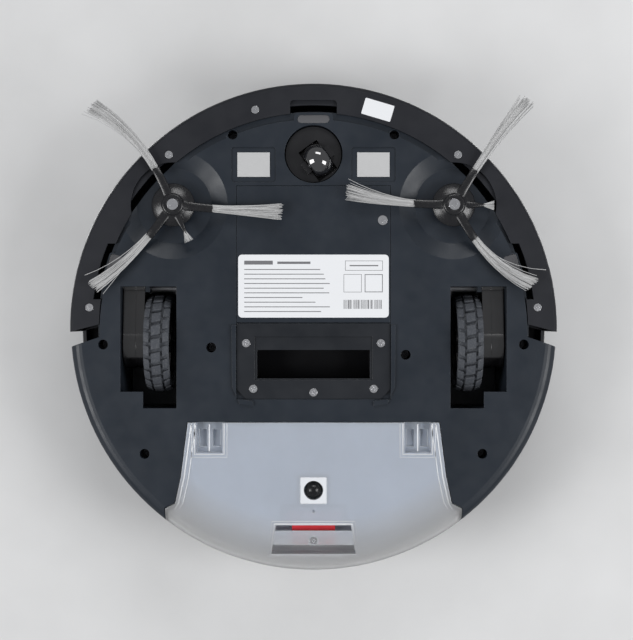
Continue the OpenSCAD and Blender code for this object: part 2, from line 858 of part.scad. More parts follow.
module brush_screw(s) {
    color("#b4b6ba") place_brush(s) screw(3.7, 1.2, screw_shank_r, 8, arm_z - 1.4);
}

module brush_motor(s) {
    z = ground_gap + bowl_depth + wall;
    color("#4a4c52") difference() {
        place_brush(s) {
            post(0, 0, 15, z, z + 15);
            post(s * 2, 12, 8.5, z + 4, z + 32);
            block(-8, 8, 0, 14, z, z + 15);
        }
        place_brush(s) post(0, 0, brush_stem_r + run_gap, 0, brush_stem_top + 0.5);
    }
}

// ---- Drive modules, drawn for the right side ----

// Side outline of the gearbox, with Y across and Z up
module gear_outline(g = 0) {
    translate([wheel_y, axle_z]) circle(r = gear_case_r - g);
    translate([pivot_y, pivot_z]) circle(r = 6 - g);
    translate([motor_y, motor_z]) circle(r = motor_r + 2 - g);
    polygon([
        [pivot_y - 5.6 + g, pivot_z - 1], [pivot_y + 1, pivot_z - 5.6 + g], [wheel_y - 4, axle_z - 16 + g],
        [wheel_y + 4, axle_z + 16 - g], [motor_y + 6, motor_z + 8.6 - g], [motor_y - 8.6 + g, motor_z + 4]
    ]);
}

// An outline in Y and Z carried along X
module slab_x(x0, x1) {
    translate([x0, 0, 0]) rotate([90, 0, 90]) linear_extrude(height = x1 - x0) children();
}

module gear_case() {
    color("#191a1e") difference() {
        slab_x(gear_in_x, gear_split_x) gear_outline();
        slab_x(gear_in_x + 2, gear_split_x + 1) difference() {
            gear_outline(2);
            translate([pivot_y, pivot_z]) circle(r = 5);
            translate([wheel_y, axle_z]) circle(r = axle_r + 3);
        }
        rod_x(gear_in_x - 1, gear_split_x + 1, pivot_y, pivot_z, pivot_r + run_gap);
        rod_x(gear_in_x - 1, gear_split_x + 1, wheel_y, axle_z, axle_r + run_gap);
    }
}

module gear_cover() {
    color("#141518") difference() {
        union() {
            slab_x(gear_split_x, gear_out_x) gear_outline();
            block(gear_split_x + 0.3, gear_out_x - 0.3, seat_y - 6, seat_y + 6, seat_z - 6, seat_z);
        }
        slab_x(gear_split_x - 1, gear_out_x - 2) difference() {
            gear_outline(2);
            translate([pivot_y, pivot_z]) circle(r = 5);
            translate([wheel_y, axle_z]) circle(r = axle_r + 3);
        }
        rod_x(gear_split_x - 1, gear_out_x + 1, pivot_y, pivot_z, pivot_r + run_gap);
        rod_x(gear_split_x - 1, gear_out_x - 2, wheel_y, axle_z, axle_r + run_gap);
    }
}

module wheel_hub() {
    x0 = wheel_x - tyre_w / 2 + 1.2;
    x1 = wheel_x + tyre_w / 2 - 1.2;
    color("#222327") difference() {
        rod_x(x0, x1, wheel_y, axle_z, wheel_r - 6);
        difference() {
            rod_x(x0 - 1, x0 + 4, wheel_y, axle_z, wheel_r - 9);
            rod_x(x0 - 2, x0 + 5, wheel_y, axle_z, 8);
            for (a = [0:60:300]) translate([x0, wheel_y, axle_z]) rotate([a, 0, 0])
                translate([2, 0, 15]) cube([8, 2.4, 30], center = true);
        }
        rod_x(x0 + 2, x1 + 1, wheel_y, axle_z, axle_r);
    }
}

module tyre() {
    x0 = wheel_x - tyre_w / 2;
    groove = 1.6;
    color("#2a2b2e") difference() {
        rod_x(x0, x0 + tyre_w, wheel_y, axle_z, wheel_r);
        rod_x(x0 - 1, x0 + tyre_w + 1, wheel_y, axle_z, wheel_r - 6);
        for (x = [0.3, 0.7]) translate([x0 + x * tyre_w - 0.5, wheel_y, axle_z]) rotate([0, 90, 0])
            difference() {
                cylinder(r = wheel_r + 1, h = 1);
                translate([0, 0, -1]) cylinder(r = wheel_r - groove, h = 3);
            }
        for (i = [0:tread_count - 1]) translate([wheel_x, wheel_y, axle_z]) rotate([i * 360 / tread_count, 0, 0])
            translate([0, 0, wheel_r]) cube([tyre_w + 2, 1.6, 2 * groove], center = true);
    }
}

module wheel_axle() {
    color("#a8aaae") rod_x(wheel_x - tyre_w / 2 + 3.2, gear_out_x - 2.4, wheel_y, axle_z, axle_r);
}

module drive_motor() {
    color("#a0a2a6") {
        rod_x(motor_x, gear_in_x, motor_y, motor_z, motor_r);
        rod_x(motor_x - 1.5, motor_x + 1, motor_y, motor_z, 3);
    }
}

module suspension_spring() {
    color("#c8cace") translate([(gear_split_x + gear_out_x) / 2, seat_y, seat_z])
        coil(2.8, 0.45, box_roof_z - seat_z, 6);
}

module on_side(s) {
    mirror([s > 0 ? 0 : 1, 0, 0]) children();
}

// ---- Dust bin ----

module bin_solid(z0, z1, e, g = 0, r = body_r) {
    intersection() {
        round_edged(r, z0, z1, e);
        rise(z0, z1) bin_outline(g);
    }
}

module latch_recess(grow) {
    rise(0, latch_top + grow) polygon([
        [-25 - grow, latch_y - grow], [25 + grow, latch_y - grow],
        [28 + grow, latch_y + latch_l + grow], [-28 - grow, latch_y + latch_l + grow]
    ]);
}

module dust_bin() {
    color("#9fa7b0", 0.6) difference() {
        union() {
            difference() {
                bin_solid(ground_gap, bin_top, edge_round);
                bin_solid(ground_gap + bin_wall, bin_top + 1, edge_round - bin_wall, -bin_wall, body_r - bin_wall);
            }
            intersection() {
                bin_solid(ground_gap, bin_top, edge_round);
                union() {
                    for (s = [-1, 1]) translate([s * pocket_x, bin_y + pocket_l / 2])
                        rise(ground_gap, pocket_top + 4) square([pocket_w + 4, pocket_l + 4], center = true);
                    translate([0, socket_y]) rise(ground_gap, socket_top + 2)
                        square([socket_w + 4, socket_w + 4], center = true);
                    latch_recess(2);
                    block(-22, 22, latch_cell_y - 2, latch_y + 2, ground_gap, ground_gap + 12);
                }
            }
        }
        for (s = [-1, 1]) translate([s * pocket_x, bin_y + pocket_l / 2]) {
            rise(0, pocket_top) square([pocket_w, pocket_l + 2], center = true);
            for (x = [-4.6, 4.6]) rise(0, pocket_top + 2) translate([x, 1]) square([5, 11.5], center = true);
        }
        translate([0, socket_y]) rise(0, socket_top) square([socket_w, socket_w], center = true);
        latch_recess(0);
        block(-20, 20, latch_cell_y, latch_y - 2, ground_gap + bin_wall, ground_gap + 10);
        block(-15, 15, latch_y - 3, latch_y + 1, ground_gap + 4.5, ground_gap + 10);
        block(-30, 30, bin_y - 1, bin_y + bin_wall + 1, 16, 34);
        post(0, 122.4, 1, 0, ground_gap + 1);
    }
    color("#9fa7b0", 0.6) latch_guard();
}

// Clear plate over the latch's tab, with the boss of the screw that holds it to the bin
module latch_guard() {
    z = ground_gap + 0.6;
    difference() {
        union() {
            intersection() {
                translate([0, 0, z]) latch_recess(0.1);
                block(-30, 30, guard_y, guard_y + guard_l, z, z + 1.4);
            }
            post(0, bin_screw_y, bin_boss_r, z - 0.3, latch_top + 0.5);
        }
        post(0, bin_screw_y, 2.5, 0, z + 1);
        post(0, bin_screw_y, bin_shank_r, 0, z + 9);
    }
}

module bin_lid() {
    color("#3a3d44") difference() {
        bin_solid(bin_top, lid_top, 0.4);
        difference() {
            bin_solid(bin_top - 1, lid_top - bin_wall, 0.3, -bin_wall, body_r - bin_wall);
            block(-38, 38, bin_y, bin_y + 12, bin_top, lid_top);
        }
        block(-35, 35, bin_y - 1, bin_y + 14, bin_top + 3, bin_top + 17);
    }
}

module bin_filter() {
    y = bin_y + 2;
    color("#e3e4df") {
        block(-35, 35, y, y + 2.5, bin_top + 3, bin_top + 17);
        for (x = [-33:3:33]) block(x - 0.9, x + 0.9, y + 2.4, y + 9.5, bin_top + 3.6, bin_top + 16.4);
    }
}

module socket_frame() {
    color("#e6e8ea") translate([0, socket_y]) rise(ground_gap + 0.2, socket_top) difference() {
        square([socket_w, socket_w], center = true);
        circle(r = 6.4);
    }
}

module socket_ball() {
    color("#101114") translate([0, socket_y, socket_top - 5.7]) sphere(r = 5.7);
}

module bin_latch() {
    z = ground_gap;
    color("#b8202c") {
        block(-18, 18, 122.8, 129.2, z + 2.6, z + 9);
        difference() {
            union() {
                block(-14.4, 14.4, 129, 137, z + 5, z + 9.4);
                block(-14.4, 14.4, 136.4, 144.7, z + 2.5, z + 9.4);
            }
            block(-bin_boss_r - 0.5, bin_boss_r + 0.5, bin_screw_y - bin_boss_r - 0.5, 150, z, z + 20);
        }
    }
}

module latch_spring() {
    color("#c8cace") for (s = [-1, 1])
        translate([s * 11, latch_cell_y, ground_gap + 6]) rotate([-90, 0, 0]) coil(2, 0.35, 3, 3);
}

module bin_screw() {
    color("#b4b6ba") translate([0, bin_screw_y, 0]) screw(2.3, 0.8, bin_shank_r, 8, ground_gap + 0.7);
}

// ---- Assembly ----

bottom_shell();
top_cover();
top_panel();
power_button();
home_button();
bumper();
bumper_lip();
bumper_window();
bumper_screws();
bumper_label();
bumper_springs();
bumper_switches();
cliff_sensor_windows();
charging_contacts();
battery_cover();
rating_label();
battery_pack();
main_board();
inlet_frame();
underside_screws();
air_duct();
fan_housing();
fan_motor();
fan_impeller();
exhaust_grilles();
shell_screws();
arm_pins();
caster_fork();
caster_wheel();
caster_axle();
for (s = sides) {
    brush(s[1]);
    bristles(s[1]);
    brush_screw(s[1]);
    brush_motor(s[1]);
    on_side(s[1]) gear_case();
    on_side(s[1]) gear_cover();
    on_side(s[1]) wheel_hub();
    on_side(s[1]) tyre();
    on_side(s[1]) wheel_axle();
    on_side(s[1]) drive_motor();
    on_side(s[1]) suspension_spring();
}
dust_bin();
bin_lid();
bin_filter();
socket_frame();
socket_ball();
bin_latch();
latch_spring();
bin_screw();
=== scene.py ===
# %% [markdown]
# # A round robot vacuum, seen from below
# The real object is a stack of moulded plastic shells with rubber, steel and nylon parts set into
# them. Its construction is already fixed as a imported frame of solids, so this lesson only gives
# those solids their finishes and swaps in a few pieces that need finer modelling: tyres with tread,
# brushes with bristles, a polished caster wheel, low ribs on the dust bin and print on the label. We
# start by loading the frame and keeping
# its box, because nothing that we add may grow the object.

# %% Load the frame
import json
import math
import random
import bpy
import bmesh
from mathutils import Matrix, Vector


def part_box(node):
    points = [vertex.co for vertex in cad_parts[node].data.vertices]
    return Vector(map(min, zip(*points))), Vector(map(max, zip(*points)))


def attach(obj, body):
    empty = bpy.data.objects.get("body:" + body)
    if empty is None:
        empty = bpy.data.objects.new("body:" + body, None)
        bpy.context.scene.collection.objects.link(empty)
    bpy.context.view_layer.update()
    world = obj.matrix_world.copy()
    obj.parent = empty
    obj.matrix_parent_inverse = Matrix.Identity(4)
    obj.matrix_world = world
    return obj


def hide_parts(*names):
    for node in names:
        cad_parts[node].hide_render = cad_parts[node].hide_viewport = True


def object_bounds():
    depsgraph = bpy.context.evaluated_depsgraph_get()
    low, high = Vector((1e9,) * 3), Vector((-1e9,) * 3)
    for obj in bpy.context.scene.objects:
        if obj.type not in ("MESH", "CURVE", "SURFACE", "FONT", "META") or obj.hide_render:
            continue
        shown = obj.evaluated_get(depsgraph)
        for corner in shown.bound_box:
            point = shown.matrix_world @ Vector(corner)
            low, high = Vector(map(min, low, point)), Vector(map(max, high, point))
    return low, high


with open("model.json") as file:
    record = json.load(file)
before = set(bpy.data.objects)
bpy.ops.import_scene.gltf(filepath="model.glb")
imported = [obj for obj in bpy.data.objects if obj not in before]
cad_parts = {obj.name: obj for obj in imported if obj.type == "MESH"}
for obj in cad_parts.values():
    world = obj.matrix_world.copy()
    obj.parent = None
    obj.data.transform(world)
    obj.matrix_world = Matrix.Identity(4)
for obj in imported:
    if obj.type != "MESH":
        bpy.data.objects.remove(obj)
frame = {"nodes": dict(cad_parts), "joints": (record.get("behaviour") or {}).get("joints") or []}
cad_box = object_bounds()
nodes = frame["nodes"]
MM = 0.001
print("frame holds", len(nodes), "nodes, box", [round(v, 4) for v in cad_box[1] - cad_box[0]])

# %% [markdown]
# ## Node helpers
# A finish is more than a colour. Moulded plastic has a fine spark-eroded grain, tiny changes of
# gloss where hands and floors have rubbed it, and edges that are never perfectly sharp. We could
# paint these as images, but nodes driven by the object's own coordinates stay sharp at any
# distance and need no unwrapping. These helpers add one such layer each.

# %% Start a material
def new_material(name, roughness=0.5, metallic=0.0):
    material = bpy.data.materials.new(name)
    material.use_nodes = True
    shader = material.node_tree.nodes["Principled BSDF"]
    shader.inputs["Roughness"].default_value = roughness
    shader.inputs["Metallic"].default_value = metallic
    return material, material.node_tree, shader


def noise(tree, scale, detail=3.0, stretch=(1, 1, 1)):
    coordinates = tree.nodes.new("ShaderNodeTexCoord")
    mapping = tree.nodes.new("ShaderNodeMapping")
    mapping.inputs["Scale"].default_value = stretch
    texture = tree.nodes.new("ShaderNodeTexNoise")
    texture.inputs["Scale"].default_value = scale
    texture.inputs["Detail"].default_value = detail
    tree.links.new(coordinates.outputs["Object"], mapping.inputs["Vector"])
    tree.links.new(mapping.outputs["Vector"], texture.inputs["Vector"])
    return texture.outputs["Fac"]


def remap(tree, value, from_low, from_high, to_low, to_high):
    node = tree.nodes.new("ShaderNodeMapRange")
    node.inputs["From Min"].default_value = from_low
    node.inputs["From Max"].default_value = from_high
    node.inputs["To Min"].default_value = to_low
    node.inputs["To Max"].default_value = to_high
    tree.links.new(value, node.inputs["Value"])
    return node.outputs["Result"]


def mix_colour(tree, factor, first, second):
    node = tree.nodes.new("ShaderNodeMix")
    node.data_type = "RGBA"
    tree.links.new(factor, node.inputs["Factor"])
    for socket, colour in ((node.inputs["A"], first), (node.inputs["B"], second)):
        if isinstance(colour, bpy.types.NodeSocket):
            tree.links.new(colour, socket)
        else:
            socket.default_value = (*colour, 1)
    return node.outputs["Result"]

print("node helpers ready")

# %% [markdown]
# ## Soft edges
# Every moulded edge has a small radius that catches a thread of light. Cutting that radius into
# the mesh would change the frame, so a Bevel node rounds only the shading. The same node tells us
# where the edges are: where its normal leans away from the true one, the plastic is rubbed paler,
# and the clear plastics get a painted highlight.

# %% Soften and wear the edges
def soft_edges(tree, shader, radius, grain_scale, grain_depth):
    bevel = tree.nodes.new("ShaderNodeBevel")
    bevel.samples = 4
    bevel.inputs["Radius"].default_value = radius
    bump = tree.nodes.new("ShaderNodeBump")
    bump.inputs["Distance"].default_value = grain_depth
    tree.links.new(noise(tree, grain_scale, 2.0), bump.inputs["Height"])
    tree.links.new(bevel.outputs["Normal"], bump.inputs["Normal"])
    tree.links.new(bump.outputs["Normal"], shader.inputs["Normal"])
    geometry = tree.nodes.new("ShaderNodeNewGeometry")
    lean = tree.nodes.new("ShaderNodeVectorMath")
    lean.operation = "DOT_PRODUCT"
    tree.links.new(bevel.outputs["Normal"], lean.inputs[0])
    tree.links.new(geometry.outputs["Normal"], lean.inputs[1])
    return remap(tree, lean.outputs["Value"], 0.97, 0.75, 0.0, 1.0)

print("soft edges ready")

# %% [markdown]
# ## Moulded plastic
# One recipe serves all the plastics, because they differ only in colour, gloss and grain. The body
# is a dark slate grey with a satin face; the bumper is blacker and duller; the gearboxes and the
# top panel are polished. Two broad noises drift the tone and the gloss so that no face is flat.

# %% The plastic recipe
def moulded_plastic(name, colour, roughness, grain=2600, depth=0.00002, edge=0.0004, rub=0.35, spread=0.07,
                    ior=1.45):
    material, tree, shader = new_material(name, roughness)
    shader.inputs["IOR"].default_value = ior
    paler = tuple(min(1, c * (1 + spread) + 0.004) for c in colour)
    darker = tuple(c * (1 - spread) for c in colour)
    broad = remap(tree, noise(tree, 28, 4), 0.35, 0.65, 0, 1)
    base = mix_colour(tree, broad, darker, paler)
    edges = soft_edges(tree, shader, edge, grain, depth)
    worn = remap(tree, noise(tree, 160, 4), 0.45, 0.62, 0, rub)
    rubbed = tree.nodes.new("ShaderNodeMath")
    rubbed.operation = "MULTIPLY"
    tree.links.new(edges, rubbed.inputs[0])
    tree.links.new(worn, rubbed.inputs[1])
    bright = tuple(min(1, c * 2.2 + 0.05) for c in colour)
    tree.links.new(mix_colour(tree, rubbed.outputs["Value"], base, bright), shader.inputs["Base Color"])
    gloss = remap(tree, noise(tree, 90, 5), 0.3, 0.7, roughness * 0.86, min(1, roughness * 1.18))
    tree.links.new(gloss, shader.inputs["Roughness"])
    return material


plastics = {
    "shell": moulded_plastic("slate_shell", (0.0115, 0.0165, 0.0245), 0.40, ior=1.42),
    "cover": moulded_plastic("top_cover_satin", (0.02, 0.021, 0.025), 0.42),
    "panel": moulded_plastic("top_panel_gloss", (0.008, 0.008, 0.010), 0.12, grain=900, depth=0.000002),
    "bumper": moulded_plastic("bumper_black", (0.0085, 0.0095, 0.0135), 0.5, ior=1.38),
    "inlet": moulded_plastic("inlet_black", (0.0085, 0.0105, 0.0145), 0.36),
    # painted shade: inner parts are black plastic painted far darker, for the shade deep in the duct
    "inner": moulded_plastic("inner_black_painted_shade", (0.002, 0.002, 0.003), 0.55, rub=0.1, ior=1.2),
    "gearbox": moulded_plastic("gearbox_gloss", (0.010, 0.0095, 0.0105), 0.2, depth=0.000004, ior=1.8),
    "caster_base": moulded_plastic("caster_base", (0.006, 0.006, 0.0075), 0.34),
    "caster": moulded_plastic("caster_polished", (0.006, 0.006, 0.007), 0.07, grain=700,
                              depth=0.000002, rub=0.6, ior=2.3),
    "hub": moulded_plastic("hub_plastic", (0.012, 0.012, 0.015), 0.4),
    "button": moulded_plastic("button_silver", (0.42, 0.43, 0.45), 0.32),
    "white": moulded_plastic("socket_white", (0.72, 0.74, 0.77), 0.38, spread=0.05),
    "latch": moulded_plastic("latch_red", (0.62, 0.03, 0.04), 0.35),
    "impeller": moulded_plastic("impeller_grey", (0.4, 0.4, 0.42), 0.45),
    "board": moulded_plastic("circuit_board", (0.02, 0.12, 0.05), 0.4),
    "battery": moulded_plastic("battery_wrap", (0.05, 0.11, 0.22), 0.3),
    "infrared": moulded_plastic("infrared_window", (0.012, 0.004, 0.009), 0.08, depth=0.000002),
}
print("plastics:", ", ".join(plastics))

# %% [markdown]
# ## Rubber
# Rubber is dark like the plastics but scatters light from a rougher skin, and dust gathers on what
# stands proud. A strong, coarse grain with a pale dust layer tells the eye that it is soft.

# %% The rubber recipe
def rubber(name, colour, dust, amount, roughness=0.72, ior=1.45):
    material, tree, shader = new_material(name, roughness)
    shader.inputs["IOR"].default_value = ior
    speckle = remap(tree, noise(tree, 900, 5), 0.48, 0.7, 0, amount)
    tree.links.new(mix_colour(tree, speckle, colour, dust), shader.inputs["Base Color"])
    soft_edges(tree, shader, 0.0003, 2200, 0.00008)
    gloss = remap(tree, noise(tree, 240, 4), 0.3, 0.7, roughness * 0.8, min(1, roughness * 1.15))
    tree.links.new(gloss, shader.inputs["Roughness"])
    return material


rubbers = {
    "tyre": rubber("tyre_rubber", (0.052, 0.057, 0.068), (0.12, 0.125, 0.13), 0.5),
    "brush": rubber("brush_rubber", (0.005, 0.005, 0.0065), (0.02, 0.02, 0.02), 0.4, 0.26, 1.55),
    "ball": rubber("socket_ball", (0.006, 0.006, 0.007), (0.02, 0.02, 0.02), 0.2, 0.18),
}
print("rubbers:", ", ".join(rubbers))

# %% [markdown]
# ## Metal
# Screws are zinc plated, springs are drawn wire and the contact plates are satin nickel. A metal
# shows its making in its gloss: a noise stretched along one axis gives the faint lines of rolling.

# %% The metal recipe
def metal(name, colour, roughness, lines=(1, 1, 1), scale=700):
    material, tree, shader = new_material(name, roughness, 1.0)
    drift = remap(tree, noise(tree, scale, 4, lines), 0.3, 0.7, 0, 1)
    tree.links.new(
        mix_colour(tree, drift, tuple(c * 0.94 for c in colour), colour), shader.inputs["Base Color"])
    gloss = remap(tree, noise(tree, scale * 0.6, 5, lines), 0.3, 0.7, roughness * 0.93, roughness * 1.08)
    tree.links.new(gloss, shader.inputs["Roughness"])
    soft_edges(tree, shader, 0.00015, 3000, 0.0000008)
    return material


metals = {
    "screw": metal("zinc_screw", (0.70, 0.70, 0.72), 0.24),
    "contact": metal("contact_nickel", (0.74, 0.74, 0.74), 0.52, (1, 9, 1), 500),
    "spring": metal("spring_wire", (0.6, 0.6, 0.62), 0.3),
    "pin": metal("ground_pin", (0.66, 0.66, 0.68), 0.22, (8, 1, 1)),
    "dark_screw": metal("black_zinc_screw", (0.06, 0.06, 0.065), 0.4),
    "motor": metal("motor_can", (0.5, 0.5, 0.52), 0.34, (1, 6, 1), 400),
}
print("metals:", ", ".join(metals))

# %% [markdown]
# ## Frosted and clear plastics
# The dust bin is milky: it lets light through but blurs it, and its skin also scatters some back.
# Transmission with a high roughness does the first and a pale base the second. Near the rim only
# the thin outer wall is left, so it is paler and clearer there. Its edges are painted almost white
# and less clear, as a painted highlight. The sensor windows are the dark, polished cousin of the
# same recipe, with a fainter painted highlight on their edges.

# %% The see-through recipes
RIM_BEGINS = 128 * MM
RIM_ENDS = 158 * MM
RIM_TRANSMISSION = 0.84
PAINTED_HIGHLIGHT_WHITE = (0.97, 0.98, 1.0)


def see_through(name, colour, rim, roughness, transmission, ior=1.45, depth=0.00001, edge_highlight_white=0.85):
    material, tree, shader = new_material(name, roughness)
    shader.inputs["IOR"].default_value = ior
    coordinates = tree.nodes.new("ShaderNodeTexCoord")
    flat = tree.nodes.new("ShaderNodeVectorMath")
    flat.operation = "MULTIPLY"
    flat.inputs[1].default_value = (1, 1, 0)
    tree.links.new(coordinates.outputs["Object"], flat.inputs[0])
    reach = tree.nodes.new("ShaderNodeVectorMath")
    reach.operation = "LENGTH"
    tree.links.new(flat.outputs["Vector"], reach.inputs[0])
    near_rim = remap(tree, reach.outputs["Value"], RIM_BEGINS, RIM_ENDS, 0, 1)
    cloud = remap(tree, noise(tree, 45, 5), 0.3, 0.7, 0, 1)
    milky = mix_colour(tree, cloud, tuple(c * 0.95 for c in colour), colour)
    tone = mix_colour(tree, near_rim, milky, rim)
    edges = soft_edges(tree, shader, 0.0007, 1800, depth)
    # painted highlight: the edges are painted towards near white and let less light through
    lit = remap(tree, edges, 0.0, 1.0, 0.0, edge_highlight_white)
    tree.links.new(mix_colour(tree, lit, tone, PAINTED_HIGHLIGHT_WHITE), shader.inputs["Base Color"])
    clear = remap(tree, near_rim, 0.0, 1.0, transmission, max(transmission, RIM_TRANSMISSION))
    solid = tree.nodes.new("ShaderNodeMath")
    solid.operation = "MULTIPLY"
    tree.links.new(clear, solid.inputs[0])
    tree.links.new(remap(tree, lit, 0.0, 1.0, 1.0, 0.2), solid.inputs[1])
    tree.links.new(solid.outputs["Value"], shader.inputs["Transmission Weight"])
    gloss = remap(tree, noise(tree, 120, 4), 0.3, 0.7, roughness * 0.94, min(1, roughness * 1.06))
    tree.links.new(gloss, shader.inputs["Roughness"])
    return material


clears = {
    "bin": see_through("frosted_bin", (0.74, 0.80, 0.90), (0.97, 0.97, 0.97), 0.32, 0.55),
    "lid": see_through("smoked_lid", (0.52, 0.57, 0.66), (0.93, 0.93, 0.93), 0.3, 0.55),
    "window": see_through("sensor_window", (0.20, 0.20, 0.21), (0.17, 0.17, 0.18), 0.12, 0.3,
                          1.5, 0.000001, 0.2),
}
# painted highlight: the bin's raised lines are painted near white and less clear than the bin
clears["edge"] = see_through("bin_lines_painted_highlight", (0.93, 0.95, 0.98), (0.96, 0.97, 0.98), 0.3, 0.2)
print("see-through finishes:", ", ".join(clears))

# %% [markdown]
# ## Paper, filter and nylon
# The labels are coated paper with a faint fibre, the filter is pleated paper, and the bristles are
# straight nylon with a pale sheen.

# %% Paper and nylon
def paper(name, colour, roughness, fibre):
    material, tree, shader = new_material(name, roughness)
    strand = remap(tree, noise(tree, fibre, 6, (1, 5, 1)), 0.3, 0.7, 0, 1)
    tree.links.new(
        mix_colour(tree, strand, tuple(c * 0.95 for c in colour), colour), shader.inputs["Base Color"])
    bump = tree.nodes.new("ShaderNodeBump")
    bump.inputs["Distance"].default_value = 0.00001
    tree.links.new(noise(tree, fibre * 2, 4), bump.inputs["Height"])
    tree.links.new(bump.outputs["Normal"], shader.inputs["Normal"])
    return material


papers = {
    "label": paper("label_paper", (0.80, 0.81, 0.83), 0.42, 1200),
    "ink": paper("label_ink", (0.16, 0.16, 0.17), 0.5, 1500),
    "filter": paper("filter_paper", (0.72, 0.72, 0.68), 0.85, 900),
    "nylon": paper("bristle_nylon", (0.50, 0.50, 0.50), 0.36, 2500),
}
print("papers:", ", ".join(papers))

# %% [markdown]
# ## Finish every carried-over solid
# A solid whose shape is right keeps its mesh and only gets its finish. A table of names is easier
# to read and to check than sixty assignments.

# %% Give each node its finish
FINISHES = {
    "bottom_shell": plastics["shell"], "battery_cover": plastics["shell"],
    "top_cover": plastics["cover"], "top_panel": plastics["panel"],
    "power_button": plastics["button"], "home_button": plastics["button"],
    "bumper": plastics["bumper"], "bumper_lip": plastics["bumper"], "bumper_window": plastics["infrared"],
    "bumper_screws": metals["screw"], "bumper_label": papers["label"], "bumper_springs": metals["spring"],
    "bumper_switches": plastics["inner"], "cliff_sensor_windows": clears["window"],
    "charging_contacts": metals["contact"], "rating_label": papers["label"],
    "battery_pack": plastics["battery"], "main_board": plastics["board"],
    "inlet_frame": plastics["inlet"], "underside_screws": metals["screw"], "air_duct": plastics["inner"],
    "fan_housing": plastics["inner"], "fan_motor": metals["motor"], "fan_impeller": plastics["impeller"],
    "exhaust_grilles": plastics["inner"], "shell_screws": metals["dark_screw"], "arm_pins": metals["pin"],
    "caster_fork": plastics["caster_base"], "caster_wheel": plastics["caster"], "caster_axle": metals["pin"],
    "dust_bin": clears["bin"], "bin_lid": clears["lid"], "bin_filter": papers["filter"],
    "socket_frame": plastics["white"], "socket_ball": rubbers["ball"], "bin_latch": plastics["latch"],
    "latch_spring": metals["spring"], "bin_screw": metals["screw"],
}
SIDE_FINISHES = {
    "brush": rubbers["brush"], "bristles": papers["nylon"], "brush_screw": metals["screw"],
    "brush_motor": plastics["inner"], "gear_case": plastics["gearbox"], "gear_cover": plastics["gearbox"],
    "wheel_hub": plastics["hub"], "tyre": rubbers["tyre"], "wheel_axle": metals["pin"],
    "drive_motor": metals["motor"], "suspension_spring": metals["spring"],
}
for side in ("left", "right"):
    for part, finish in SIDE_FINISHES.items():
        FINISHES[f"{side}_{part}"] = finish
for name, finish in FINISHES.items():
    slots = nodes[name].data.materials
    slots.clear()
    slots.append(finish)
print("finished", len(FINISHES), "of", len(nodes), "nodes")

# %% [markdown]
# ## Mesh helpers
# The modelled pieces are built from a few primitives: a lathe turns a section about an axis, and a
# mesh maker turns a bmesh into an object that rides on a body. Keeping them as functions means that
# the left and right pieces are the same piece, made twice.

# %% Mesh helpers
def make_piece(name, mesh, body, finish, replaced, smooth=True):
    data = bpy.data.meshes.new(name)
    bmesh.ops.recalc_face_normals(mesh, faces=mesh.faces)
    mesh.to_mesh(data)
    mesh.free()
    data.materials.append(finish)
    for polygon in data.polygons:
        polygon.use_smooth = smooth
    piece = bpy.data.objects.new(name, data)
    bpy.context.scene.collection.objects.link(piece)
    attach(piece, body)
    if replaced:
        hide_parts(*replaced)
    return piece


ROUNDED_ANGLE = math.radians(35)


def round_corners(piece, width):
    bevel = piece.modifiers.new("rounding", "BEVEL")
    bevel.width = width
    bevel.segments = 2
    bevel.limit_method = "ANGLE"
    bevel.angle_limit = ROUNDED_ANGLE


def lathe(mesh, section, centre, steps=96, axis="Z"):
    """Turns a closed list of (radius, height) points about an axis through centre."""
    rings = []
    for i in range(steps):
        turn = 2 * math.pi * i / steps
        ring = []
        for radius, height in section:
            across, along = radius * math.cos(turn), radius * math.sin(turn)
            offset = (across, along, height) if axis == "Z" else (height, across, along)
            ring.append(mesh.verts.new(centre + Vector(offset)))
        rings.append(ring)
    for i in range(steps):
        near, far = rings[i], rings[(i + 1) % steps]
        for k in range(len(section)):
            n = (k + 1) % len(section)
            mesh.faces.new((near[k], near[n], far[n], far[k]))

print("mesh helpers ready")

# %% [markdown]
# ## Tyres
# A drive tyre is one rubber moulding: a carcass with three rows of blocks, the middle row set half
# a pitch off the outer two. A texture could fake the blocks, but they stand two millimetres proud
# and show at the rim, so each one is a real, bent block with a sloping shoulder.

# %% Build a tyre
TREAD_PITCHES = 22
TREAD_DEPTH = 2.4 * MM
BLOCK_SHARE = 0.37
BLOCK_LEAN = 0.04
BLOCK_ROUNDING = 0.45 * MM
TYRE_THICKNESS = 6 * MM


def tread_block(mesh, centre, x0, x1, turn, half_turn, radius, drop0, drop1, lean):
    """One block: x0..x1 across, bent over the arc, each side edge lowered by its own drop."""
    steps = 3
    grid = []
    for i in range(steps + 1):
        angle = turn - half_turn + 2 * half_turn * i / steps
        row = []
        for x, drop in ((x0, drop0), (x1, drop1)):
            skew = lean * (x - (x0 + x1) / 2) / (x1 - x0)
            direction = Vector((0, math.cos(angle + skew), math.sin(angle + skew)))
            floor = centre + direction * (radius - TREAD_DEPTH - 0.4 * MM)
            top = centre + direction * (radius - drop)
            row.append((mesh.verts.new(floor + Vector((x, 0, 0))), mesh.verts.new(top + Vector((x, 0, 0)))))
        grid.append(row)
    for i in range(steps):
        (a0, a1), (b0, b1) = grid[i]
        (c0, c1), (d0, d1) = grid[i + 1]
        mesh.faces.new((a1, b1, d1, c1))
        mesh.faces.new((a0, a1, c1, c0))
        mesh.faces.new((b0, d0, d1, b1))
        mesh.faces.new((a0, c0, d0, b0))
    for row in (grid[0], grid[-1]):
        (a0, a1), (b0, b1) = row
        mesh.faces.new((a0, b0, b1, a1))


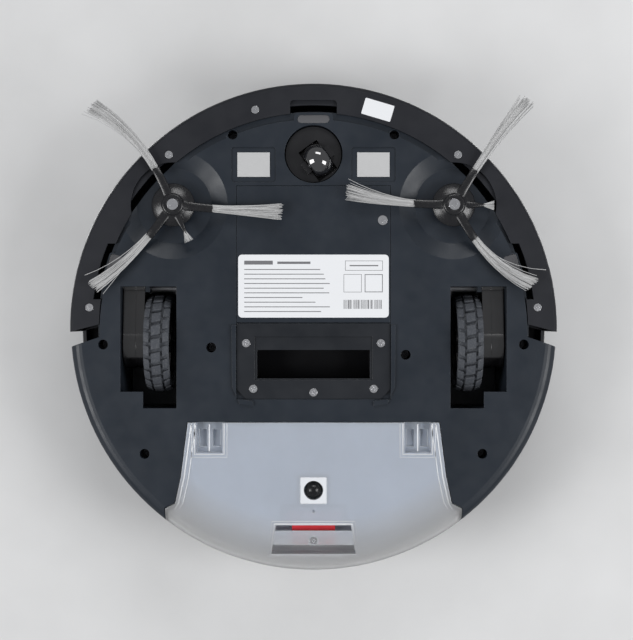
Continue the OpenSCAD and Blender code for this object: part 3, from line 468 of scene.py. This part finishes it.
def build_tyre(side):
    low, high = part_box(f"{side}_tyre")
    low, high = Vector(low), Vector(high)
    centre = (low + high) / 2
    radius = (high.z - low.z) / 2
    half = (high.x - low.x) / 2
    bore = radius - TYRE_THICKNESS
    shoulder = 1.5 * MM
    mesh = bmesh.new()
    skin = radius - TREAD_DEPTH
    section = [
        (bore, -half + 0.8 * MM), (bore + 1.5 * MM, -half), (skin - shoulder, -half),
        (skin - 0.3 * MM, -half + shoulder), (skin, 0), (skin - 0.3 * MM, half - shoulder),
        (skin - shoulder, half), (bore + 1.5 * MM, half), (bore, half - 0.8 * MM),
    ]
    lathe(mesh, section, centre, 96, "X")
    pitch = 2 * math.pi / TREAD_PITCHES
    rows = (
        (-0.98, -0.52, 0.0, 1.9, 0.35), (-0.36, 0.36, 0.5, 0.0, 0.0), (0.52, 0.98, 0.0, 0.35, 1.9),
    )
    for start, stop, stagger, drop0, drop1 in rows:
        for i in range(TREAD_PITCHES):
            lean = BLOCK_LEAN if stop < 0 else -BLOCK_LEAN
            tread_block(mesh, centre, start * half, stop * half, (i + stagger) * pitch,
                        pitch * BLOCK_SHARE, radius, drop0 * MM, drop1 * MM, lean)
    tyre = make_piece(f"{side}_tyre_tread", mesh, f"{side}_wheel", rubbers["tyre"], [f"{side}_tyre"],
                      False)
    round_corners(tyre, BLOCK_ROUNDING)
    return tyre


for side in ("left", "right"):
    tyre = build_tyre(side)
    print(tyre.name, len(tyre.data.polygons), "faces")

# %% [markdown]
# ## Side brushes
# A side brush is a soft rubber moulding: a domed hub and three flat arms, each clamping a tuft of
# nylon. The bristles have taken a set from use, so each tuft bends its own way. Hair particles
# would do on screen, but real thin tubes export as a mesh, so every bristle is a bent tube. A
# seeded generator keeps them the same on every run.

# %% Sizes of a brush
ARM_PHASE = {"left": 6, "right": -59}
TUFT_BEND = {"left": (-2, 8, -15), "right": (4, -15, 6)}
TUFT_REACH = {"left": (0.86, 0.9, 1.0), "right": (1.0, 0.88, 0.85)}
BRUSH_REACH = 85 * MM
ARM_END = 27 * MM
ARM_WIDTH = 5.4 * MM
SPOKE_END = 21 * MM
BRISTLES_PER_TUFT = 64


def brush_centre(side):
    low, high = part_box(f"{side}_brush_screw")
    return Vector(((low[0] + high[0]) / 2, (low[1] + high[1]) / 2, 0))


def polar(angle, radius, height, sideways=0.0):
    turn = math.radians(angle)
    return Vector((radius * math.cos(turn) - sideways * math.sin(turn),
                   radius * math.sin(turn) + sideways * math.cos(turn), height))

print("brush centres", [tuple(round(v, 4) for v in brush_centre(s)) for s in ARM_PHASE])

# %% [markdown]
# The hub is turned on the lathe. Its arms are flat strips with chamfered lower edges, a little
# thicker where they meet the hub. The short spoke is a strip that tapers.

# %% Build a rubber hub with its arms
def strip(mesh, centre, angle, stations):
    """A strip along a radius. Each station is (radius, half width, low, high, extra angle)."""
    rings = []
    for radius, half, low, high, extra in stations:
        rings.append([mesh.verts.new(centre + polar(angle + extra, radius, z, y)) for y, z in (
            (-half, low + 0.5 * MM), (-half * 0.55, low), (half * 0.55, low), (half, low + 0.5 * MM),
            (half, high), (-half, high))])
    for near, far in zip(rings, rings[1:]):
        for k in range(6):
            n = (k + 1) % 6
            mesh.faces.new((near[k], near[n], far[n], far[k]))
    mesh.faces.new(rings[0][::-1])
    mesh.faces.new(rings[-1])


def build_brush(side):
    low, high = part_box(f"{side}_brush")
    top = high[2]
    bottom = low[2]
    centre = brush_centre(side)
    mesh = bmesh.new()
    section = [
        (1.5, 1.2), (3.9, 1.2), (4.0, 0.0), (6.2, 0.0), (6.9, 0.5), (7.4, 1.3), (9.5, 2.0),
        (12.0, 3.2), (13.6, 4.6),
        (14.4, 5.2), (14.2, 6.0), (11.0, 6.2), (4.0, 6.2),
    ]
    points = [(r * MM, bottom + z * MM) for r, z in section] + [(4 * MM, top), (1.5 * MM, top)]
    lathe(mesh, points, centre, 72)
    z0, z1 = bottom + 1.4 * MM, bottom + 4.2 * MM
    for i in range(3):
        angle = ARM_PHASE[side] + 120 * i
        bend = TUFT_BEND[side][i]
        strip(mesh, centre, angle, [
            (7 * MM, 3.1 * MM, z0 - 0.2 * MM, z1 + 1.2 * MM, 0),
            (14 * MM, 2.8 * MM, z0, z1 + 0.4 * MM, bend * 0.02),
            (20 * MM, ARM_WIDTH / 2, z0, z1, bend * 0.06),
            (ARM_END - 1 * MM, ARM_WIDTH / 2, z0, z1, bend * 0.12),
            (ARM_END, ARM_WIDTH / 2 - 0.4 * MM, z0 + 0.3 * MM, z1 - 0.3 * MM, bend * 0.13)])
    strip(mesh, centre, ARM_PHASE[side] + 60, [
        (7 * MM, 2.6 * MM, z0, z1, 0), (14 * MM, 1.9 * MM, z0 + 0.4 * MM, z1 - 0.3 * MM, 0),
        (SPOKE_END, 0.7 * MM, z0 + 0.9 * MM, z1 - 0.8 * MM, 0)])
    return make_piece(f"{side}_brush_arms", mesh, f"{side}_side_brush", rubbers["brush"], [f"{side}_brush"])


for side in ("left", "right"):
    brush = build_brush(side)
    round_corners(brush, 0.35 * MM)
    print(brush.name, len(brush.data.polygons), "faces")

# %% [markdown]
# A bristle is a thin tube with four sides, bent at seven points. Its root sits in the arm, its tip
# fans out, and all the tuft follows one bend. A few strays leave the tuft, as they do after use.

# %% Build the bristles
BRISTLE_SIDES = 4
BRISTLE_POINTS = 7
BRISTLE_RADIUS = 0.26 * MM
SPOKE_BRISTLE_RADIUS = 0.2 * MM
SPOKE_BRISTLES = 26
STRAYS_PER_TUFT = 4
TUFT_FAN = 2.1
SEEDS = {"left": 11, "right": 23}


def bristle(mesh, points, radius):
    rings = []
    for i, point in enumerate(points):
        ahead = points[min(i + 1, len(points) - 1)] - points[max(i - 1, 0)]
        across = ahead.cross(Vector((0, 0, 1))).normalized()
        above = across.cross(ahead).normalized()
        ring = []
        for k in range(BRISTLE_SIDES):
            turn = 2 * math.pi * k / BRISTLE_SIDES
            thin = radius * (1 - 0.35 * i / len(points))
            ring.append(mesh.verts.new(point + (across * math.cos(turn) + above * math.sin(turn)) * thin))
        rings.append(ring)
    for near, far in zip(rings, rings[1:]):
        for k in range(BRISTLE_SIDES):
            n = (k + 1) % BRISTLE_SIDES
            mesh.faces.new((near[k], near[n], far[n], far[k]))
    mesh.faces.new(rings[0][::-1])
    mesh.faces.new(rings[-1])


def tuft_points(draw, angle, bend, reach, root_z, tip_z, spread, stray):
    root = draw.uniform(-2.2, 2.2) * MM
    lift = draw.uniform(-0.9, 0.9) * MM
    fan = root * spread + draw.gauss(0, 0.5 + stray) * MM
    length = reach * draw.uniform(0.955, 1.0)
    start = ARM_END - 2.5 * MM
    curl = bend + draw.gauss(0, 0.5 + stray * 0.8)
    points = []
    for i in range(BRISTLE_POINTS):
        t = i / (BRISTLE_POINTS - 1)
        radius = start + (length - start) * t
        sideways = root + (fan - root) * t ** 1.5
        height = root_z + lift * (1 - 0.5 * t) + (tip_z - root_z) * math.sin(t * math.pi / 2)
        points.append(polar(angle + curl * (0.13 + 0.87 * t ** 1.3), radius, height, sideways))
    return points


def build_bristles(side):
    draw = random.Random(SEEDS[side])
    centre = brush_centre(side)
    low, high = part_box(f"{side}_bristles")
    mesh = bmesh.new()
    tip_z = low[2] + 0.9 * MM
    root_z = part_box(f"{side}_brush")[0][2] + 2.8 * MM
    for i in range(3):
        angle = ARM_PHASE[side] + 120 * i
        reach = BRUSH_REACH * TUFT_REACH[side][i]
        for n in range(BRISTLES_PER_TUFT):
            stray = 2.6 if n < STRAYS_PER_TUFT else 0.0
            points = tuft_points(draw, angle, TUFT_BEND[side][i], reach, root_z, tip_z, TUFT_FAN, stray)
            bristle(mesh, [centre + p for p in points], BRISTLE_RADIUS)
    for n in range(SPOKE_BRISTLES):
        sideways = draw.uniform(-1, 1)
        height = root_z + draw.uniform(-0.5, 0.5) * MM
        angle = ARM_PHASE[side] + 60
        points = []
        for t in (0, 0.35, 0.7, 1.0):
            radius = SPOKE_END - 2 * MM + t * 7.5 * MM
            points.append(centre + polar(angle, radius, height, sideways * (0.5 + 2.6 * t) * MM))
        bristle(mesh, points, SPOKE_BRISTLE_RADIUS)
    return make_piece(f"{side}_bristle_tufts", mesh, f"{side}_side_brush", papers["nylon"],
                      [f"{side}_bristles"])


for side in ("left", "right"):
    tufts = build_bristles(side)
    print(tufts.name, len(tufts.data.polygons), "faces")

# %% [markdown]
# ## Printed rules on the label
# A rating label is a block of small print beside a few boxes. Ours carries no words: plain bars
# and frames keep its look. They are slabs that stand a hundredth of a millimetre off the paper.

# %% Print the label
def slab(mesh, x0, x1, y0, y1, z0, z1):
    outline = ((x0, y0), (x1, y0), (x1, y1), (x0, y1))
    corners = [mesh.verts.new((x, y, z)) for z in (z0, z1) for x, y in outline]
    for face in ((3, 2, 1, 0), (4, 5, 6, 7), (0, 1, 5, 4), (1, 2, 6, 5), (2, 3, 7, 6), (3, 0, 4, 7)):
        mesh.faces.new([corners[k] for k in face])


def frame_of_bars(mesh, x0, x1, y0, y1, z0, z1, line):
    slab(mesh, x0, x1, y0, y0 + line, z0, z1)
    slab(mesh, x0, x1, y1 - line, y1, z0, z1)
    slab(mesh, x0, x0 + line, y0 + line, y1 - line, z0, z1)
    slab(mesh, x1 - line, x1, y0 + line, y1 - line, z0, z1)


TEXT_ROWS = 10
ROW_PITCH = 3.1 * MM
ROW_HEIGHT = 0.55 * MM
INK_PROUD = 0.012 * MM
LABEL_MARGIN = 4 * MM


def print_label():
    low, high = (Vector(v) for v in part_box("rating_label"))
    draw = random.Random(5)
    z0, z1 = low.z - INK_PROUD, low.z + 0.01 * MM
    mesh = bmesh.new()
    left, top = low.x + LABEL_MARGIN, low.y + LABEL_MARGIN
    slab(mesh, left, left + 19 * MM, top, top + 2.6 * MM, z0, z1)
    slab(mesh, left + 22 * MM, left + 44 * MM, top + 0.6 * MM, top + 2.2 * MM, z0, z1)
    for row in range(TEXT_ROWS):
        y = top + 5.6 * MM + row * ROW_PITCH
        slab(mesh, left, left + draw.uniform(38, 58) * MM, y, y + ROW_HEIGHT, z0, z1)
    right = high.x - LABEL_MARGIN
    frame_of_bars(mesh, right - 25 * MM, right, top, top + 6.6 * MM, z0, z1, 0.3 * MM)
    slab(mesh, right - 22 * MM, right - 3 * MM, top + 2.9 * MM, top + 3.7 * MM, z0, z1)
    frame_of_bars(mesh, right - 12 * MM, right, top + 9 * MM, top + 21 * MM, z0, z1, 0.5 * MM)
    frame_of_bars(mesh, right - 26 * MM, right - 14 * MM, top + 9 * MM, top + 21 * MM, z0, z1, 0.3 * MM)
    x = right - 26 * MM
    while x < right - 1 * MM:
        width = draw.choice((0.3, 0.5, 0.8)) * MM
        slab(mesh, x, x + width, top + 26 * MM, top + 32 * MM, z0, z1)
        x += width + draw.choice((0.4, 0.6, 0.9)) * MM
    return make_piece("rating_label_rules", mesh, "chassis", papers["ink"], None, False)


rules = print_label()
print(rules.name, len(rules.data.polygons), "faces")

# %% [markdown]
# ## Raised lines on the dust bin
# The frosted bin is stiffened by low ribs: two down each side, and two round each pocket and
# round the latch recess. They catch the light as pale lines, and their finish is painted near white
# and less clear than the bin as a painted highlight. The bevel shading alone is too faint at this
# size, so the lines are real strips, a fifth of a millimetre proud of the bin's floor.

# %% Build the lines of the bin
LINE_PROUD = 0.2 * MM
SIDE_RIB_PATH = ((83.5, 1.5), (88.1, 36.1), (91.9, 53.5), (94.5, 57.6))
POCKET_X = 69.2
POCKET_HALF = 8.75
RECESS_FRONT = 68.2
RECESS_REAR = 87.2
RECESS_FRONT_HALF = 25
RECESS_REAR_HALF = 28


def line_strip(mesh, points, width, z0, z1, closed=False):
    """A flat strip along points, given in metres, with mitred corners."""
    count = len(points)
    rings = []
    for i, (x, y) in enumerate(points):
        before = points[i - 1] if closed or i > 0 else points[i]
        after = points[(i + 1) % count] if closed or i < count - 1 else points[i]
        ahead = Vector((after[0] - before[0], after[1] - before[1])).normalized()
        across = Vector((-ahead.y, ahead.x)) * width / 2
        rings.append([mesh.verts.new((x + k * across.x, y + k * across.y, z))
                      for k, z in ((-1, z0), (1, z0), (1, z1), (-1, z1))])
    pairs = list(zip(rings, rings[1:])) + ([(rings[-1], rings[0])] if closed else [])
    for near, far in pairs:
        for k in range(4):
            mesh.faces.new((near[k], near[(k + 1) % 4], far[(k + 1) % 4], far[k]))
    if not closed:
        mesh.faces.new(rings[0][::-1])
        mesh.faces.new(rings[-1])


def build_bin_lines():
    low, high = (Vector(v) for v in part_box("dust_bin"))
    z0, z1 = low.z - LINE_PROUD, low.z + 0.05 * MM
    front = low.y
    mesh = bmesh.new()
    for sign in (-1, 1):
        for inset, width in ((2.2, 0.9), (5.2, 0.6)):
            rib = [(sign * (x - inset) * MM, front + y * MM) for x, y in SIDE_RIB_PATH]
            line_strip(mesh, rib, width * MM, z0, z1)
        middle = POCKET_X * sign
        for grow, width in ((1.1, 0.7), (3.0, 0.5)):
            x0 = (middle - POCKET_HALF - grow) * MM
            x1 = (middle + POCKET_HALF + grow) * MM
            y0, y1 = front + 0.6 * MM, front + (20 + grow) * MM
            line_strip(mesh, [(x0, y0), (x0, y1), (x1, y1), (x1, y0)], width * MM, z0, z1)
        line_strip(mesh, [(middle * MM, front + 1 * MM), (middle * MM, front + 19 * MM)], 0.8 * MM,
                   z0 + LINE_PROUD, z1 + 0.3 * MM)
    for grow, width in ((0.9, 1.1), (2.6, 0.5)):
        top = front + (RECESS_FRONT - grow) * MM
        foot = front + (RECESS_REAR + grow * 0.6) * MM
        x0 = (RECESS_FRONT_HALF + grow) * MM
        x1 = (RECESS_REAR_HALF + grow) * MM
        line_strip(mesh, [(-x0, top), (x0, top), (x1, foot), (-x1, foot)], width * MM, z0, z1, True)
    return make_piece("bin_raised_lines", mesh, "dust_bin", clears["edge"], None, False)


bin_lines = build_bin_lines()
print(bin_lines.name, len(bin_lines.data.polygons), "faces")

# %% [markdown]
# ## Caster wheel
# The caster's wheel is a polished ball with its sides cut off, so that it can roll and tip over a
# threshold. Its crown here is a shallow parabola, turned about the axle on the same lathe.

# %% Build the caster wheel
CASTER_HALF_WIDTH = 7 * MM
CASTER_CROWN = 3 * MM
CASTER_BORE = 1.6 * MM
CROWN_STEPS = 8


def build_caster_wheel():
    low, high = (Vector(v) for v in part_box("caster_wheel"))
    roll = next(joint for joint in frame["joints"] if joint["name"] == "caster_roll")
    axle = Vector(roll["axis"]).normalized()
    radius = (high.z - low.z) / 2
    half = CASTER_HALF_WIDTH
    mesh = bmesh.new()
    crown = []
    for k in range(-CROWN_STEPS, CROWN_STEPS + 1):
        share = k / CROWN_STEPS
        crown.append((radius - CASTER_CROWN * share ** 2, half * share))
    section = [(CASTER_BORE, -half)] + crown + [(CASTER_BORE, half)]
    lathe(mesh, section, Vector((0, 0, 0)), 96, "X")
    turn = Vector((1, 0, 0)).rotation_difference(axle).to_matrix().to_4x4()
    mesh.transform(Matrix.Translation((low + high) / 2) @ turn)
    return make_piece("caster_ball", mesh, "caster_wheel", plastics["caster"], ["caster_wheel"])


caster_ball = build_caster_wheel()
print(caster_ball.name, len(caster_ball.data.polygons), "faces")

# %% [markdown]
# ## Camera and stage
# The underside is the side worth showing, so the camera looks straight up at it from below. The
# floor must not hide it, and other views look down from above. So there are two sheets: the floor
# at the wheels shows only to a camera above it, and a backdrop over the top shows only to one below,
# directly or through clear plastic. All other light passes through both.

# %% Place the camera
HEIGHT = cad_box[1].z
CAMERA_DISTANCE = 0.9
CAMERA_FOOT = Vector((2.0 * MM, -4.7 * MM))
VIEW_WIDTH = 0.4397
camera_data = bpy.data.cameras.new("camera")
camera_data.sensor_width = 36
camera_data.lens = 36 * CAMERA_DISTANCE / VIEW_WIDTH
camera = bpy.data.objects.new("camera", camera_data)
camera.matrix_world = Matrix((
    (1, 0, 0, CAMERA_FOOT.x),
    (0, -1, 0, CAMERA_FOOT.y),
    (0, 0, -1, HEIGHT / 2 - CAMERA_DISTANCE),
    (0, 0, 0, 1)))
bpy.context.scene.collection.objects.link(camera)
bpy.context.scene.camera = camera
print("camera", round(camera_data.lens, 1), "mm lens")

# %% [markdown]
# A stage sheet is opaque only to a camera ray that meets the wanted side. Backfacing says which
# side the ray met, and Light Path says what kind of ray it is.

# %% Build the stage
STAGE_HALF = 40.0


def stage_sheet(name, height, faces_up, colour, mottle):
    material = bpy.data.materials.new(name)
    material.use_nodes = True
    tree = material.node_tree
    tree.nodes.clear()
    output = tree.nodes.new("ShaderNodeOutputMaterial")
    paint = tree.nodes.new("ShaderNodeBsdfDiffuse")
    clear = tree.nodes.new("ShaderNodeBsdfTransparent")
    mixer = tree.nodes.new("ShaderNodeMixShader")
    path = tree.nodes.new("ShaderNodeLightPath")
    geometry = tree.nodes.new("ShaderNodeNewGeometry")
    seen = tree.nodes.new("ShaderNodeMath")
    seen.operation = "MAXIMUM"
    tree.links.new(path.outputs["Is Camera Ray"], seen.inputs[0])
    tree.links.new(path.outputs["Is Transmission Ray"], seen.inputs[1])
    front = tree.nodes.new("ShaderNodeMath")
    front.operation = "SUBTRACT"
    front.inputs[0].default_value = 1
    tree.links.new(geometry.outputs["Backfacing"], front.inputs[1])
    both = tree.nodes.new("ShaderNodeMath")
    both.operation = "MULTIPLY"
    tree.links.new(seen.outputs["Value"], both.inputs[0])
    tree.links.new(front.outputs["Value"], both.inputs[1])
    drift = remap(tree, noise(tree, 5.0, 6), 0.3, 0.7, 0, 1)
    tree.links.new(mix_colour(tree, drift, tuple(c * mottle for c in colour), colour), paint.inputs["Color"])
    tree.links.new(both.outputs["Value"], mixer.inputs["Fac"])
    tree.links.new(clear.outputs["BSDF"], mixer.inputs[1])
    tree.links.new(paint.outputs["BSDF"], mixer.inputs[2])
    tree.links.new(mixer.outputs["Shader"], output.inputs["Surface"])
    mesh = bpy.data.meshes.new(name)
    half = STAGE_HALF
    corners = [(-half, -half, height), (half, -half, height), (half, half, height), (-half, half, height)]
    mesh.from_pydata(corners, [], [(0, 1, 2, 3) if faces_up else (3, 2, 1, 0)])
    mesh.materials.append(material)
    sheet = bpy.data.objects.new(name, mesh)
    bpy.context.scene.collection.objects.link(sheet)
    return sheet


ground = stage_sheet("ground", 0.0, True, (0.68, 0.68, 0.68), 0.94)
backdrop = stage_sheet("backdrop", HEIGHT + 0.2 * MM, False, (0.72, 0.72, 0.72), 0.82)
print("stage:", ground.name, backdrop.name)

# %% [markdown]
# ## Light
# Two large soft lamps stand wide on either side of the camera, so that their reflections mostly
# miss the lens and the dark shell stays dark, and a third lights the bumper's side. Two lamps above
# light the top for the other views.

# %% Hang the lamps
def soft_lamp(name, place, target, size, power):
    data = bpy.data.lights.new(name, "AREA")
    data.shape = "RECTANGLE"
    data.size, data.size_y = size
    data.energy = power
    lamp = bpy.data.objects.new(name, data)
    lamp.location = place
    lamp.rotation_mode = "QUATERNION"
    lamp.rotation_quaternion = (Vector(target) - Vector(place)).to_track_quat("-Z", "Y")
    bpy.context.scene.collection.objects.link(lamp)
    return lamp


for sign in (-1, 1):
    soft_lamp(f"below_{sign}", (sign * 0.95, 0.25, -0.75), (0, 0, 0), (0.5, 0.7), 8)
    soft_lamp(f"above_{sign}", (sign * 0.8, -0.5, 1.1), (0, 0, 0), (0.7, 0.7), 10)
soft_lamp("below_front", (0.1, -0.95, -0.75), (0, 0, 0), (0.7, 0.3), 4)

world = bpy.data.worlds.new("studio")
bpy.context.scene.world = world
world.use_nodes = True
backing = world.node_tree.nodes["Background"]
backing.inputs["Color"].default_value = (0.9, 0.92, 0.95, 1)
backing.inputs["Strength"].default_value = 0.36
bpy.context.scene.view_settings.view_transform = "Standard"

# %% [markdown]
# ## Finish
# A helper turns a box into two lists of corners.

# %% Finish
def corners(box):
    return [list(box[0]), list(box[1])]
